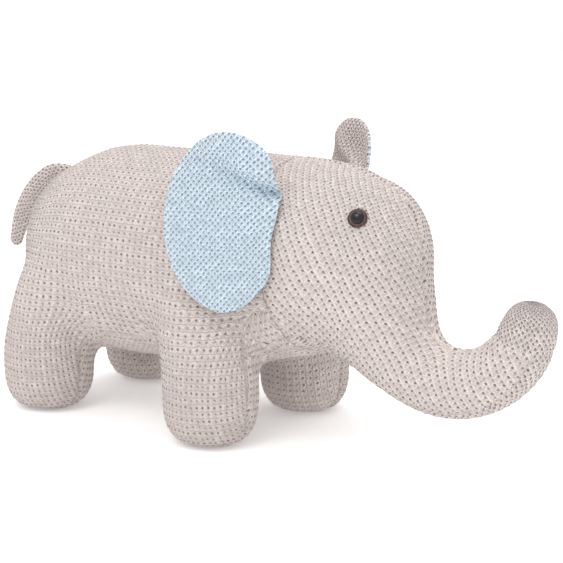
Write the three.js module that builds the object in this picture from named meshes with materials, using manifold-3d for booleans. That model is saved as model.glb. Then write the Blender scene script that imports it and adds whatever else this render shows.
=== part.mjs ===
// A knitted, stuffed toy elephant: knit panels sewn into a skin, polyester stuffing inside,
// two-layer ears, a flat tail and two safety eyes held by washers.
// Millimetres. +X is where the elephant looks, +Y its left side, +Z up; z = 0 is the floor.
import * as THREE from 'three';
import { mergeVertices } from 'three/addons/utils/BufferGeometryUtils.js';
import Module from 'manifold-3d';

const wasm = await Module();
wasm.setup();

// Driving dimensions.
const KNIT = 2.2; // thickness of one knit panel
const GAP = 0.3; // clearance between neighbouring pieces
const AHEAD = -61.1; // moves the model so that x = 0 is halfway between tail and trunk
const LEG_X = 69; // leg centres, ahead of and behind the torso's middle
const LEG_Y = 47.5; // leg centres, either side of the middle plane
const LEG_R = 29;
const SOLE_R = 14; // flat round patch that each foot stands on
const LEG_TOP = 116; // the legs end inside the torso
const LEG_LEAN = { x: 0.2, y: 0.07, from: 40 }; // each leg leans in towards the hip above this height
const GUSSET = { half: LEG_Y, top: 84, rear: -84 }; // the belly gusset runs between the leg seams
const NECK = { x: 108, z: 108, lean: 0.16 }; // the neck seam's plane, and its lean ahead going down
const HINGE = { x: 170, z: 68, r: 32, slope: -41 }; // the trunk bends about this point
const TIP_SEAM = 0.9; // where the tip cap is sewn on, along the trunk
const EAR = { x: 117, y: 52.5, open: 24, curl: 4, lift: 2.5, tuck: 7, fold: 5, rim: 1.2, puff: 1.9 };
const TAIL = { x: -93.2, z: 147, swing: 25, half: 6, thick: 2.6 };
const EYE = { x: 161.4, y: 28.6, z: 141.3, rim: 6, pupil: 3.8, shank: 2.2 };

// Stations of a stuffed tube: x, z of the middle, half width, half height.
const TORSO = [
  [-72, 101, 57, 57.5],
  [-48, 101.5, 65.5, 66.5],
  [0, 102, 67, 68],
  [48, 103.5, 64.5, 67],
  [84, 107, 57, 63],
  [116, 111, 50, 58],
];
const HEAD = [
  [100, 111, 49, 58.5],
  [118, 112, 49.5, 57.5],
  [136, 113.5, 44.5, 54.5],
  [150, 113.5, 37.5, 50],
];
const TRUNK = [
  [134, 107, 31, 40],
  [148, 93, 36.5, 44],
  [159, 80, 33, 37.5],
  [170, 66, 27.5, 28.5],
  [184, 54, 22.5, 22.5],
  [204, 47.5, 19.4, 19.4],
  [224, 50.5, 18, 18],
  [242, 62, 16.6, 16.6],
  [252, 76, 15.8, 15.4],
  [256, 88, 14.8, 14.2],
];

// The strip under chin and trunk, seen from above: x, half width.
const CHIN = [[90, 38], [118, 34], [140, 22], [170, 13], [280, 11]];

// Half of the ear's outline from the front lower corner round the back: distance behind the
// seam, height above the floor.
const EAR_OUTLINE = [
  [0, 106], [6.7, 96], [14.8, 88.7], [28.3, 85], [42, 91], [52, 102], [59.5, 122],
  [60.5, 139.6], [58, 155], [52, 169], [41, 182.5], [25, 189], [12, 185.5], [3, 177],
  [-1, 163], [-1, 150],
];
const EAR_CENTRE = [27, 137];

const knit = new THREE.MeshStandardMaterial({ color: 0xd3c7c2, roughness: 0.95, metalness: 0 });
const blueKnit = new THREE.MeshStandardMaterial({ color: 0xc7d7e4, roughness: 0.95, metalness: 0 });
const fibre = new THREE.MeshStandardMaterial({ color: 0xf4f2ee, roughness: 1, metalness: 0 });
const brownEye = new THREE.MeshStandardMaterial({ color: 0x3a2320, roughness: 0.25, metalness: 0 });
const blackEye = new THREE.MeshStandardMaterial({ color: 0x0c0c0e, roughness: 0.12, metalness: 0 });
const washerPlastic = new THREE.MeshStandardMaterial({ color: 0xe6e4de, roughness: 0.5, metalness: 0 });

const elephant = new THREE.Group();

// Booleans.

function solid(geometry) {
  const bare = geometry.clone();
  bare.deleteAttribute('normal');
  bare.deleteAttribute('uv');
  const welded = mergeVertices(bare, 1e-4);
  const made = new wasm.Manifold(new wasm.Mesh({
    numProp: 3,
    vertProperties: new Float32Array(welded.attributes.position.array),
    triVerts: new Uint32Array(welded.index.array),
  }));
  return made;
}

function geometryOf(manifold) {
  const mesh = manifold.getMesh();
  const geometry = new THREE.BufferGeometry();
  geometry.setAttribute('position', new THREE.BufferAttribute(mesh.vertProperties, 3));
  geometry.setIndex(new THREE.BufferAttribute(mesh.triVerts, 1));
  return geometry;
}

function union(solids) {
  return solids.reduce((all, one) => all.add(one));
}

function largest(manifold) {
  // Cutting a shell can leave loose slivers at the edges of a cut; a piece is its biggest body.
  return manifold.decompose().reduce((big, one) => (one.volume() > big.volume() ? one : big));
}

function add(name, shape, material) {
  const geometry = shape.isBufferGeometry ? shape : geometryOf(largest(shape));
  const mesh = new THREE.Mesh(geometry, material);
  mesh.name = name;
  elephant.add(mesh);
}

function block(x0, x1, y0, y1, z0, z1) {
  const box = new THREE.BoxGeometry(x1 - x0, y1 - y0, z1 - z0);
  box.translate((x0 + x1) / 2, (y0 + y1) / 2, (z0 + z1) / 2);
  return solid(box);
}

function ball(x, y, z, radius) {
  const sphere = new THREE.SphereGeometry(radius, 18, 11);
  sphere.translate(x, y, z);
  return solid(sphere);
}

// A stuffed tube: elliptical rings along a curve in the middle plane, with domed ends.

function spineOf(stations) {
  const middle = new THREE.CatmullRomCurve3(stations.map(([x, z]) => new THREE.Vector3(x, 0, z)));
  const size = new THREE.CatmullRomCurve3(stations.map(([, , w, t]) => new THREE.Vector3(w, t, 0)));
  return {
    at: (t) => middle.getPoint(t),
    along: (t) => middle.getTangent(t),
    size: (t) => size.getPoint(t),
  };
}

function ringsOf(spine, inset, rings, domes) {
  const made = [];
  const dome = (t, sign, reach) => {
    const at = spine.at(t);
    const along = spine.along(t);
    const { x: wide, y: tall } = spine.size(t);
    const steps = 4;
    const cap = [];
    for (let k = 1; k <= steps; k += 1) {
      const angle = (k / steps) * Math.PI / 2;
      cap.push({
        at: at.clone().addScaledVector(along, sign * (reach - inset) * Math.sin(angle)),
        along,
        wide: (wide - inset) * Math.cos(angle),
        tall: (tall - inset) * Math.cos(angle),
      });
    }
    return cap;
  };
  for (let i = 0; i <= rings; i += 1) {
    const t = i / rings;
    const { x: wide, y: tall } = spine.size(t);
    made.push({ at: spine.at(t), along: spine.along(t), wide: wide - inset, tall: tall - inset });
  }
  return [...dome(0, -1, domes[0]).reverse(), ...made, ...dome(1, 1, domes[1])];
}

function tube(stations, inset, rings, domes, segments) {
  const sections = ringsOf(spineOf(stations), inset, rings, domes);
  const last = sections.length - 1;
  const profile = sections.map((s, i) => new THREE.Vector2(i === 0 || i === last ? 0 : 1, i));
  const geometry = new THREE.LatheGeometry(profile, segments);
  const position = geometry.attributes.position;
  for (let i = 0; i < position.count; i += 1) {
    const section = sections[Math.round(position.getY(i))];
    const side = -position.getX(i) * section.wide;
    const rise = position.getZ(i) * section.tall;
    const up = new THREE.Vector3(-section.along.z, 0, section.along.x);
    const point = section.at.clone().addScaledVector(up, rise);
    position.setXYZ(i, point.x, side, point.z);
  }
  return solid(geometry);
}

// The body's outline, pulled in by inset: torso and legs in one, head and trunk in the other.

function leg(x, y, inset) {
  const r = LEG_R - inset;
  const sole = SOLE_R;
  const profile = [new THREE.Vector2(0, inset)];
  const steps = 4;
  for (let i = 0; i <= steps; i += 1) {
    const angle = (i / steps) * Math.PI / 2;
    profile.push(new THREE.Vector2(
      sole + (r - sole) * Math.sin(angle),
      inset + (20 - inset / 2) * (1 - Math.cos(angle)),
    ));
  }
  profile.push(new THREE.Vector2(r, 36));
  profile.push(new THREE.Vector2(r, 60));
  profile.push(new THREE.Vector2(r - 0.5, 80));
  profile.push(new THREE.Vector2(r - 3, 98));
  profile.push(new THREE.Vector2(r - 11, LEG_TOP - 5 - inset));
  profile.push(new THREE.Vector2(0, LEG_TOP - inset));
  const geometry = new THREE.LatheGeometry(profile, 16);
  geometry.rotateX(Math.PI / 2);
  geometry.rotateZ(Math.PI / 16);
  const position = geometry.attributes.position;
  for (let i = 0; i < position.count; i += 1) {
    const above = Math.max(0, position.getZ(i) - LEG_LEAN.from);
    position.setX(i, position.getX(i) + x - Math.sign(x) * LEG_LEAN.x * above);
    position.setY(i, position.getY(i) + y - Math.sign(y) * LEG_LEAN.y * above);
  }
  return solid(geometry);
}

const legPlaces = [];
for (const [end, x] of [['front', LEG_X], ['rear', -LEG_X]]) {
  for (const [side, y] of [['right', -LEG_Y], ['left', LEG_Y]]) {
    legPlaces.push({ name: `${end}_${side}`, x, y });
  }
}

function torsoAndLegs(inset) {
  const torso = tube(TORSO, inset, 7, [28, 24], 22);
  return union([torso, ...legPlaces.map((p) => leg(p.x, p.y, inset))]);
}

function headAndTrunk(inset) {
  const head = tube(HEAD, inset, 4, [26, 38], 20);
  return head.add(tube(TRUNK, inset, 14, [20, 14], 16));
}

// Places where the panels are cut apart.

function neckSide(ahead, gap) {
  const far = 400;
  const cut = new THREE.BoxGeometry(far, far, far);
  cut.translate(ahead ? far / 2 + gap / 2 : -far / 2 - gap / 2, 0, 0);
  cut.rotateY(-Math.atan(NECK.lean));
  cut.translate(NECK.x, 0, NECK.z);
  return solid(cut);
}

function chinStrip(gap) {
  const spine = spineOf(TRUNK);
  const steps = 12;
  const upper = [new THREE.Vector2(80, 80)];
  const lower = [new THREE.Vector2(80, 20)];
  for (let i = 0; i <= steps; i += 1) {
    const t = 0.12 + 0.92 * (i / steps);
    const inside = Math.min(t, 1);
    const along = spine.along(inside);
    const at = spine.at(inside).addScaledVector(along, (t - inside) * 400);
    const tall = spine.size(inside).y;
    upper.push(new THREE.Vector2(at.x + along.z * tall * 0.55, at.z - along.x * tall * 0.55));
    lower.push(new THREE.Vector2(at.x + along.z * (tall + 8), at.z - along.x * (tall + 8)));
  }
  const side = new THREE.Shape([...upper, ...lower.reverse()]);
  const across = new THREE.ExtrudeGeometry(side, { depth: 100, bevelEnabled: false });
  across.rotateX(Math.PI / 2);
  across.translate(0, 50, 0);
  const edge = CHIN.map(([x, half]) => new THREE.Vector2(x, half + gap / 2));
  const otherEdge = CHIN.map(([x, half]) => new THREE.Vector2(x, -half - gap / 2)).reverse();
  const plan = new THREE.ExtrudeGeometry(new THREE.Shape([...edge, ...otherEdge]), {
    depth: 200, bevelEnabled: false,
  });
  return solid(across).intersect(solid(plan));
}

function beyondTip(gap) {
  const spine = spineOf(TRUNK);
  const at = spine.at(TIP_SEAM);
  const along = spine.along(TIP_SEAM);
  const cut = new THREE.BoxGeometry(60, 60, 60);
  cut.translate(30 + gap / 2, 0, 0);
  cut.rotateY(-Math.atan2(along.z, along.x));
  cut.translate(at.x, 0, at.z);
  return solid(cut);
}

const right = block(-400, 400, -400, -GAP / 2, -400, 400);
const left = block(-400, 400, GAP / 2, 400, -400, 400);
const behindNeck = neckSide(false, GAP);
const aheadOfNeck = neckSide(true, GAP);
const pivotBall = ball(HINGE.x, 0, HINGE.z, HINGE.r);
const pivotSocket = ball(HINGE.x, 0, HINGE.z, HINGE.r + 0.5);
const trunkSide = (() => {
  // Everything past a plane through the hinge, square to the trunk there.
  const cut = new THREE.BoxGeometry(200, 120, 200);
  cut.translate(100, 0, 0);
  cut.rotateY(THREE.MathUtils.degToRad(-HINGE.slope));
  cut.translate(HINGE.x, 0, HINGE.z);
  return solid(cut);
})();

// Safety eyes: a brown disc with a moulded shank, a black domed pupil and a locking washer.

const eyeDirection = new THREE.Vector3(0.31, 0.82, 0.47).normalize();

function eyeLathe(profile, segments, side) {
  const outline = profile.map(([r, z]) => new THREE.Vector2(r, z));
  const geometry = new THREE.LatheGeometry(outline, segments);
  geometry.rotateX(Math.PI / 2);
  const out = new THREE.Vector3(eyeDirection.x, side * eyeDirection.y, eyeDirection.z);
  const up = new THREE.Vector3(0, 0, 1);
  geometry.applyQuaternion(new THREE.Quaternion().setFromUnitVectors(up, out));
  geometry.translate(EYE.x, side * EYE.y, EYE.z);
  return geometry;
}

const { rim, pupil, shank } = EYE;
const under = -KNIT - 1.4; // just inside the curved skin, below the eye
const discProfile = [
  [0, -9], [shank, -9], [shank, 1.2], [rim - 0.4, 1.2], [rim, 1.5],
  [rim - 0.3, 2.1], [rim - 1.2, 2.6], [pupil, 2.8], [0, 2.8],
];
const pupilProfile = [
  [0, 3], [pupil, 3], [pupil - 0.3, 3.6], [pupil - 1.2, 4.2], [pupil - 2.4, 4.6], [0, 4.7],
];
const washerProfile = [
  [shank + 0.1, under - 1.2], [7, under - 1.2], [7, under], [shank + 0.1, under],
  [shank + 0.1, under - 1.2],
];
const seat = [
  [0, -9.6], [shank + GAP, -9.6], [shank + GAP, 0.9], [rim + GAP, 0.9], [rim + GAP, 6], [0, 6],
];
const washerPocket = [[0, under - 1.6], [7.4, under - 1.6], [7.4, under + GAP], [0, under + GAP]];

const eyeSides = [['right', -1], ['left', 1]];
const eyeHoles = union(eyeSides.map(([, side]) => solid(eyeLathe(seat, 20, side))));
const eyePockets = union(eyeSides.map(([, side]) => solid(eyeLathe(washerPocket, 16, side))));
for (const [name, side] of eyeSides) {
  add(`eye_disc_${name}`, eyeLathe(discProfile, 20, side), brownEye);
  add(`eye_pupil_${name}`, eyeLathe(pupilProfile, 16, side), blackEye);
  add(`eye_washer_${name}`, eyeLathe(washerProfile, 16, side), washerPlastic);
}

// Outer skin.

const skinOuter = torsoAndLegs(0);
const skinInner = torsoAndLegs(KNIT);
const headOuter = headAndTrunk(0);
const headInner = headAndTrunk(KNIT);
const torsoShell = skinOuter.intersect(behindNeck).subtract(skinInner);
const headWhole = headOuter.intersect(aheadOfNeck).subtract(headInner.add(eyeHoles));

const bellyRegion = (gap) => block(
  GUSSET.rear + gap, 400, -GUSSET.half + gap, GUSSET.half - gap, -10, GUSSET.top - gap,
);
const sidePanels = torsoShell.subtract(bellyRegion(-GAP / 2));
add('torso_side_right', sidePanels.intersect(right), knit);
add('torso_side_left', sidePanels.intersect(left), knit);
add('belly_gusset', torsoShell.intersect(bellyRegion(GAP / 2)), knit);

const headShell = headWhole.subtract(trunkSide.subtract(pivotBall));
const trunkShell = headWhole.intersect(trunkSide).subtract(pivotSocket);
const strip = chinStrip(-GAP);
const stripCut = chinStrip(GAP);
add('head_side_right', headShell.subtract(stripCut).intersect(right), knit);
add('head_side_left', headShell.subtract(stripCut).intersect(left), knit);
add('chin_gusset', headShell.intersect(strip), knit);

const tipCap = beyondTip(GAP);
const trunkTube = trunkShell.subtract(beyondTip(-GAP));
add('trunk_side_right', trunkTube.subtract(stripCut).intersect(right), knit);
add('trunk_side_left', trunkTube.subtract(stripCut).intersect(left), knit);
add('trunk_gusset', trunkTube.intersect(strip), knit);
add('trunk_tip_cap', trunkShell.intersect(tipCap), knit);

// Stuffing, a lump for each part that is filled by hand.

const fillDepth = KNIT + GAP;
const torsoFill = tube(TORSO, fillDepth, 7, [28, 24], 22).intersect(behindNeck);
const headFill = headAndTrunk(fillDepth).intersect(aheadOfNeck);
add('torso_stuffing', torsoFill, fibre);
const torsoKeepOut = tube(TORSO, fillDepth - GAP, 7, [28, 24], 22);
for (const place of legPlaces) {
  add(`leg_stuffing_${place.name}`, leg(place.x, place.y, fillDepth).subtract(torsoKeepOut), fibre);
}
const keepOut = union([eyeHoles, eyePockets, trunkSide.subtract(pivotBall)]);
add('head_stuffing', headFill.subtract(keepOut), fibre);
add('trunk_stuffing', headFill.intersect(trunkSide).subtract(pivotSocket), fibre);

// Ears: a knit front and back sewn round the rim, over a thin sheet of wadding.

const earEdge = new THREE.CatmullRomCurve3(
  EAR_OUTLINE.map(([u, z]) => new THREE.Vector3(u - EAR_CENTRE[0], z - EAR_CENTRE[1], 0)), true,
);

function earReach(angle) {
  // Distance from the ear's middle to its edge in this direction.
  const steps = 240;
  let best = 0;
  let nearest = Infinity;
  for (let i = 0; i < steps; i += 1) {
    const p = earEdge.getPoint(i / steps);
    const turn = Math.atan2(p.y, p.x) - angle;
    const off = Math.abs(Math.atan2(Math.sin(turn), Math.cos(turn)));
    if (off < nearest) {
      nearest = off;
      best = Math.hypot(p.x, p.y);
    }
  }
  return best;
}

function earTuck(u, z) {
  // The front edge leans in to the body above the seam.
  const front = Math.max(0, 1 - Math.max(0, u) / 20) ** 2;
  const high = THREE.MathUtils.smoothstep(z, 118, 150);
  const lobe = THREE.MathUtils.smoothstep(z, 165, 186);
  return EAR.tuck * front * (high - 0.3 * lobe);
}

function earFold(u, z) {
  // A crease runs from the front edge up towards the back, dying out.
  const run = (u * 46 + (z - 152) * 26) / 52.8;
  const away = (-u * 26 + (z - 152) * 46) / 52.8;
  const share = THREE.MathUtils.clamp(1 - run / 50, 0, 1);
  return EAR.fold * share * Math.exp(-((away / 7) ** 2));
}

function matchDiagonals(index, bands) {
  // Splits the quads of both faces along the same diagonal, so that stacked sheets stay parallel.
  for (let k = 0; k < index.count; k += 6) {
    if ((k / 6) % bands > bands / 2) {
      const [a, b, d, c] = [0, 1, 2, 3].map((n) => index.getX(k + n));
      [a, b, c, a, c, d].forEach((vertex, n) => index.setX(k + n, vertex));
    }
  }
}

function earSheet(side, low, high, shares) {
  // A sheet between two heights over the ear's middle surface, each a pair: at the rim, at the
  // middle. The shares say how far out its rings lie, 1 being the ear's edge.
  const profile = [new THREE.Vector2(0, 1)];
  shares.forEach((share) => profile.push(new THREE.Vector2(share, 1)));
  [...shares].reverse().forEach((share) => profile.push(new THREE.Vector2(share, 0)));
  profile.push(new THREE.Vector2(0, 0));
  if (side < 0) {
    profile.reverse();
  }
  const geometry = new THREE.LatheGeometry(profile, 34);
  matchDiagonals(geometry.index, profile.length - 1);
  const position = geometry.attributes.position;
  const open = THREE.MathUtils.degToRad(EAR.open);
  const along = new THREE.Vector3(-Math.cos(open), side * Math.sin(open), 0);
  const out = new THREE.Vector3(Math.sin(open), side * Math.cos(open), 0);
  for (let i = 0; i < position.count; i += 1) {
    const share = Math.hypot(position.getX(i), position.getZ(i));
    const angle = Math.atan2(position.getZ(i), position.getX(i));
    const reach = earReach(angle) * share;
    const u = EAR_CENTRE[0] + reach * Math.cos(angle);
    const z = EAR_CENTRE[1] + reach * Math.sin(angle);
    const [rim, middle] = position.getY(i) > 0.5 ? high : low;
    const thick = THREE.MathUtils.lerp(rim, middle, 1 - share ** 4);
    const curl = EAR.curl * Math.max(0, (u - EAR_CENTRE[0]) / 33) ** 2;
    const lift = EAR.lift * ((z - EAR_CENTRE[1]) / 52) ** 2;
    const point = new THREE.Vector3(EAR.x, side * EAR.y, z)
      .addScaledVector(along, u)
      .addScaledVector(out, thick + curl + lift - earFold(u, z));
    point.y -= side * earTuck(u, z);
    position.setXYZ(i, point.x, point.y, point.z);
  }
  return solid(geometry);
}

const sheetIn = [GAP / 2, 0.8];
const sheetOut = [EAR.rim, EAR.rim + EAR.puff];
const mirrored = (pair) => pair.map((value) => -value);
const wholeEar = [0.3, 0.5, 0.68, 0.84, 1];
const waddingOnly = wholeEar.slice(0, 4);
for (const [side, sign] of [['right', -1], ['left', 1]]) {
  add(`ear_front_${side}`, earSheet(sign, sheetIn, sheetOut, wholeEar), blueKnit);
  add(`ear_back_${side}`, earSheet(sign, mirrored(sheetOut), mirrored(sheetIn), wholeEar), knit);
  add(`ear_wadding_${side}`, earSheet(sign, [-0.1, -0.5], [0.1, 0.5], waddingOnly), fibre);
}

// The tail: a flat leaf sewn into the rump seam, hanging to the right.

const tailAxis = new THREE.Vector3(0.62, 0, 0.785).normalize();

function tail() {
  const { x, z, half, thick } = TAIL;
  const stations = [
    [x, z, thick, half - 0.6],
    [x - 10, z, thick, half],
    [x - 24, z - 8, thick, half + 0.4],
    [x - 36, z - 21, thick, half + 0.2],
    [x - 45, z - 36, thick, half - 0.4],
    [x - 51, z - 49, thick, half - 1.6],
  ];
  const hanging = geometryOf(tube(stations, 0, 9, [thick, 6], 12));
  const hinge = new THREE.Vector3(x, 0, z);
  hanging.translate(-hinge.x, -hinge.y, -hinge.z);
  const swing = THREE.MathUtils.degToRad(TAIL.swing);
  hanging.applyQuaternion(new THREE.Quaternion().setFromAxisAngle(tailAxis, swing));
  hanging.translate(hinge.x, hinge.y, hinge.z);
  return hanging;
}

add('tail', tail(), knit);

elephant.position.x = AHEAD;

export default elephant;
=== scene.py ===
"""A knitted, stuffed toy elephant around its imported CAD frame. Lengths are in millimetres until a
mesh is made; x is measured from the middle between the legs, so AHEAD shifts it into the frame."""
import bpy
import math
import numpy as np
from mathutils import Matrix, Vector


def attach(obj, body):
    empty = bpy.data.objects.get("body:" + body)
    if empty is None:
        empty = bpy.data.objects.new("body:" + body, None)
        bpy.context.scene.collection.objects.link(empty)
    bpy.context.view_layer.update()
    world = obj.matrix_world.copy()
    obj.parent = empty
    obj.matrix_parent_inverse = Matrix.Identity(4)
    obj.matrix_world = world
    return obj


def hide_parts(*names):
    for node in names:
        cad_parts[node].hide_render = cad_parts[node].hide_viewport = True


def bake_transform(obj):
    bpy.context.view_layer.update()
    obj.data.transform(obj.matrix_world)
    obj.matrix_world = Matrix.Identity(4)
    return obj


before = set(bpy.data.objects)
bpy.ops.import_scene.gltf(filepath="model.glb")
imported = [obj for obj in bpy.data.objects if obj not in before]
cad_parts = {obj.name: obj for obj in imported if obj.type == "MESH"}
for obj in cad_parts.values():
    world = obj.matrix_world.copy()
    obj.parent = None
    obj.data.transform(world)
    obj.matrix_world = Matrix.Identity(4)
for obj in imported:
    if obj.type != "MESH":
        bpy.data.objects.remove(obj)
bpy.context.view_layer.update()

MM = 0.001
AHEAD = -61.1
SKIN = 2.2      # thickness of the knit
VOXEL = 3.3     # size of the remesh that joins the stuffed shapes

# ---------------------------------------------------------------- shape of the stuffed body

# Stations along the torso, head and trunk: x, z of the middle, half width, half height.
TORSO = [(-73, 100, 56.5, 55.5), (-48, 101, 65, 65), (0, 102, 66.8, 66.8), (48, 104, 64.5, 66.5),
         (84, 107.5, 57.5, 62.5), (116, 111, 50, 58)]
HEAD = [(96, 111, 49.5, 59), (118, 112, 50, 57.2), (136, 113, 45.5, 54), (150, 112.5, 38, 48.8)]
TRUNK = [(134, 107, 31, 40), (148, 93, 37, 44), (159, 80, 33.5, 37.5), (170, 66, 28, 28.5),
         (184, 54, 23, 22.8), (204, 47.5, 20.2, 20.4), (224, 50.5, 19.2, 19.4), (242, 62, 18, 18.2),
         (252, 76, 17.2, 17), (256, 88, 16.2, 15.8)]
# How far the ends bulge past the first and the last station.
TORSO_ENDS, HEAD_ENDS, TRUNK_ENDS = (27, 24), (26, 38), (20, 14)
LEG_X, LEG_Y, LEG_R, SOLE_R = 69.0, 47.5, 29.0, 14.0
SOLE_CURVE = 20     # height of the curve from the sole to the leg's side
# Above LEAN_FROM the legs lean to the middle, by this much for each mm of height.
LEAN_FROM, LEAN_X, LEAN_Y = 40, 0.2, 0.07
# The neck seam passes this x and z, and leans forward as it goes down.
NECK = dict(x=108.0, z=108.0, slope=0.16)
# The belly panel lies within this half width, below the top and ahead of the rear.
GUSSET = dict(half=47.5, top=84.0, rear=-84.0)
# The seam round the trunk's tip: a point, the trunk's direction and radius, where the tip begins.
TIP = dict(at=(252.6, 78.0), along=(0.28, 0.96), radius=15, begins=225)
# Half width of the strip under the head and trunk, by x.
CHIN = [(90, 38), (118, 34), (140, 22), (170, 13), (280, 11)]
# Middle line of the head and trunk: x, z.
SPINE = [(96, 111), (118, 112), (135, 107), (150, 93), (160, 80), (170, 66), (184, 54), (204, 47.5),
         (224, 50.5), (242, 62), (252, 76), (256, 88), (257, 98)]


def spline(points, count):
    """count points on the natural cubic through these points, by chord length."""
    p = np.array(points, float)
    t = np.concatenate([[0], np.cumsum(np.linalg.norm(np.diff(p[:, :2], axis=0), axis=1))])
    n = len(t)
    h = np.diff(t)
    a = np.zeros((n, n))
    b = np.zeros((n, p.shape[1]))
    a[0, 0] = a[-1, -1] = 1
    for i in range(1, n - 1):
        a[i, i - 1:i + 2] = h[i - 1], 2 * (h[i - 1] + h[i]), h[i]
        b[i] = 6 * ((p[i + 1] - p[i]) / h[i] - (p[i] - p[i - 1]) / h[i - 1])
    m = np.linalg.solve(a, b)
    q = np.linspace(0, t[-1], count)
    k = np.clip(np.searchsorted(t, q, side="right") - 1, 0, n - 2)
    u = (q - t[k])[:, None]
    w = (t[k + 1] - q)[:, None]
    hk = h[k][:, None]
    return (m[k] * w ** 3 + m[k + 1] * u ** 3) / (6 * hk) \
        + (p[k] / hk - m[k] * hk / 6) * w + (p[k + 1] / hk - m[k + 1] * hk / 6) * u


def rings_to_mesh(rings):
    """Rings of points, each ring one closed loop, closed with a point at both ends."""
    count, segments = rings.shape[:2]
    verts = [tuple(p) for ring in rings for p in ring]
    verts += [tuple(rings[0].mean(0)), tuple(rings[-1].mean(0))]
    first, last = len(verts) - 2, len(verts) - 1
    faces = []
    for i in range(count - 1):
        for j in range(segments):
            k = (j + 1) % segments
            faces.append((i * segments + j, i * segments + k, (i + 1) * segments + k,
                          (i + 1) * segments + j))
    for j in range(segments):
        k = (j + 1) % segments
        faces.append((first, k, j))
        faces.append((last, (count - 1) * segments + j, (count - 1) * segments + k))
    return verts, faces


def tube(stations, domes, count=44, segments=56, dome_steps=12):
    """A tube with elliptic sections through the stations, with a dome at each end."""
    line = spline(stations, count)
    along = np.gradient(line[:, :2], axis=0)
    along /= np.linalg.norm(along, axis=1)[:, None]
    rows = [(line[i, :2], along[i], line[i, 2], line[i, 3]) for i in range(count)]
    caps = []
    for dome, (at, way, wide, tall), sign in ((domes[0], rows[0], -1), (domes[1], rows[-1], 1)):
        cap = []
        for k in range(1, dome_steps):
            angle = k / dome_steps * math.pi / 2
            reach = dome * math.sin(angle)
            cap.append((at + way * sign * reach, way,
                        wide * math.cos(angle), tall * math.cos(angle)))
        caps.append(cap)
    rows = caps[0][::-1] + rows + caps[1]
    turn = np.linspace(0, 2 * math.pi, segments, endpoint=False)
    rings = np.zeros((len(rows), segments, 3))
    for i, (at, way, wide, tall) in enumerate(rows):
        rise = np.sin(turn) * tall
        rings[i, :, 0] = at[0] - way[1] * rise
        rings[i, :, 1] = np.cos(turn) * wide
        rings[i, :, 2] = at[1] + way[0] * rise
    return rings_to_mesh(rings)


def leg(x, y, segments=48, curve_steps=8):
    """A leg round the vertical line through x, y, with a flat sole and a top inside the torso."""
    profile = [(3, 0), (SOLE_R, 0)]
    for i in range(1, curve_steps + 1):
        angle = i / curve_steps * math.pi / 2
        profile.append((SOLE_R + (LEG_R - SOLE_R) * math.sin(angle),
                        SOLE_CURVE * (1 - math.cos(angle))))
    profile += [(LEG_R + 0.3, 30), (LEG_R + 0.2, 42), (LEG_R, 56), (LEG_R - 1, 72), (LEG_R - 3, 88),
                (LEG_R - 9, 102), (LEG_R - 20, 112)]
    turn = np.linspace(0, 2 * math.pi, segments, endpoint=False)
    rings = []
    for r, z in profile:
        above = max(0.0, z - LEAN_FROM)
        rings.append(np.stack([x - np.sign(x) * LEAN_X * above + r * np.cos(turn),
                               y - np.sign(y) * LEAN_Y * above + r * np.sin(turn),
                               np.full(segments, float(z))], 1))
    return rings_to_mesh(np.array(rings))


def new_mesh(name, verts, faces):
    mesh = bpy.data.meshes.new(name)
    mesh.from_pydata([tuple(v) for v in verts], [], [tuple(f) for f in faces])
    mesh.update()
    return mesh


def new_object(name, mesh):
    made = bpy.data.objects.new(name, mesh)
    bpy.context.scene.collection.objects.link(made)
    return made


def apply_modifiers(obj):
    """Replaces the object's mesh with the one its modifiers make."""
    depsgraph = bpy.context.evaluated_depsgraph_get()
    mesh = bpy.data.meshes.new_from_object(obj.evaluated_get(depsgraph))
    obj.modifiers.clear()
    old = obj.data
    obj.data = mesh
    bpy.data.meshes.remove(old)


def points_of(mesh):
    co = np.zeros(len(mesh.vertices) * 3, np.float32)
    mesh.vertices.foreach_get("co", co)
    return co.reshape(-1, 3).astype(float)


def normals_of(mesh):
    co = np.zeros(len(mesh.vertices) * 3, np.float32)
    mesh.vertices.foreach_get("normal", co)
    return co.reshape(-1, 3).astype(float)


def set_points(mesh, co):
    mesh.vertices.foreach_set("co", co.astype(np.float32).ravel())
    mesh.update()


def quads_of(mesh):
    """The corners of every face of a mesh that has only quads."""
    loops = np.zeros(len(mesh.loops), np.int32)
    mesh.loops.foreach_get("vertex_index", loops)
    return loops.reshape(-1, 4)


def smoothstep(low, high, x):
    t = np.clip((x - low) / (high - low), 0, 1)
    return t * t * (3 - 2 * t)


def whole_body():
    """The stuffed shape: torso, head, trunk and legs joined by a voxel remesh."""
    verts, faces = [], []
    parts = [tube(TORSO, TORSO_ENDS), tube(HEAD, HEAD_ENDS), tube(TRUNK, TRUNK_ENDS)]
    parts += [leg(sx * LEG_X, sy * LEG_Y) for sx in (-1, 1) for sy in (-1, 1)]
    for v, f in parts:
        faces += [tuple(i + len(verts) for i in face) for face in f]
        verts += v
    body = new_object("body_form", new_mesh("body_form", verts, faces))
    remesh = body.modifiers.new("voxels", "REMESH")
    remesh.mode = "VOXEL"
    remesh.voxel_size = VOXEL
    apply_modifiers(body)
    return body


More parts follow.
